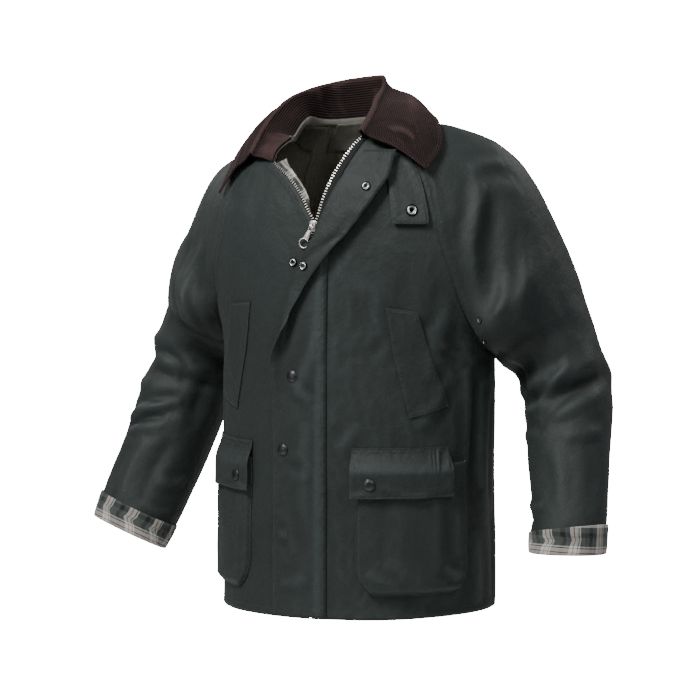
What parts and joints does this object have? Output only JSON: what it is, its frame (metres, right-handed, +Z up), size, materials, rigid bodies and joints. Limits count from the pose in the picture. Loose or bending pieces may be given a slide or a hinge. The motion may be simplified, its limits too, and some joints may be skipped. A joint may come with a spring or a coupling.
{
  "type": "waxed cotton jacket",
  "caption": "Hip-length waxed cotton jacket with a corduroy collar, part-open zip under a storm flap, bellows pockets and turned-back checked cuffs, filled out as when worn.",
  "frame": {"origin": "middle of the neck seam, level with its sides, where the wearer's neck and shoulders hold the jacket", "axes": "+Z up, -Y out of the front, +X towards the wearer's left"},
  "size_m": [0.842, 0.3326, 0.8023],
  "materials": {
    "waxed_cotton": "dark slate-green waxed cotton, satin",
    "corduroy": "dark brown needle corduroy, matt with a soft pile",
    "check_lining": "plain-woven check in cream, grey-green, black and dull red, matt",
    "facing_cotton": "dark olive cotton, matt",
    "zip_tape": "near-black woven tape, matt",
    "zip_metal": "pale worn metal",
    "stud_metal": "dark metal, satin"
  },
  "bodies": {
    "garment": {"back": "waxed_cotton", "front_left": "waxed_cotton", "front_right": "waxed_cotton", "sleeve_left": "waxed_cotton", "sleeve_right": "waxed_cotton", "collar": "corduroy", "cuff_left": "check_lining", "cuff_right": "check_lining", "storm_flap": "waxed_cotton", "throat_tab": "waxed_cotton", "pocket_left": "waxed_cotton", "pocket_right": "waxed_cotton", "pocket_flap_left": "waxed_cotton", "pocket_flap_right": "waxed_cotton", "welt_left": "waxed_cotton", "welt_right": "waxed_cotton", "neck_facing": "facing_cotton", "lining_strip": "check_lining", "zip_tape_left": "zip_tape", "zip_tape_right": "zip_tape", "zip_slider": "zip_metal", "stud_flap_upper": "stud_metal", "stud_flap_lower": "stud_metal", "socket_flap_top": "stud_metal", "socket_flap_edge": "stud_metal", "stud_front": "stud_metal", "socket_tab": "stud_metal", "stud_pocket_left": "stud_metal", "stud_pocket_right": "stud_metal"},
    "zip_pull": {"zip_pull": "zip_metal"}
  },
  "joints": [
    {"name": "pull_hinge", "type": "hinge", "parent": "garment", "child": "zip_pull", "pos_m": [0, -0.15618, -0.14565], "axis": [-0.891, 0, 0.454], "range_deg": [0, 150]}
  ]
}
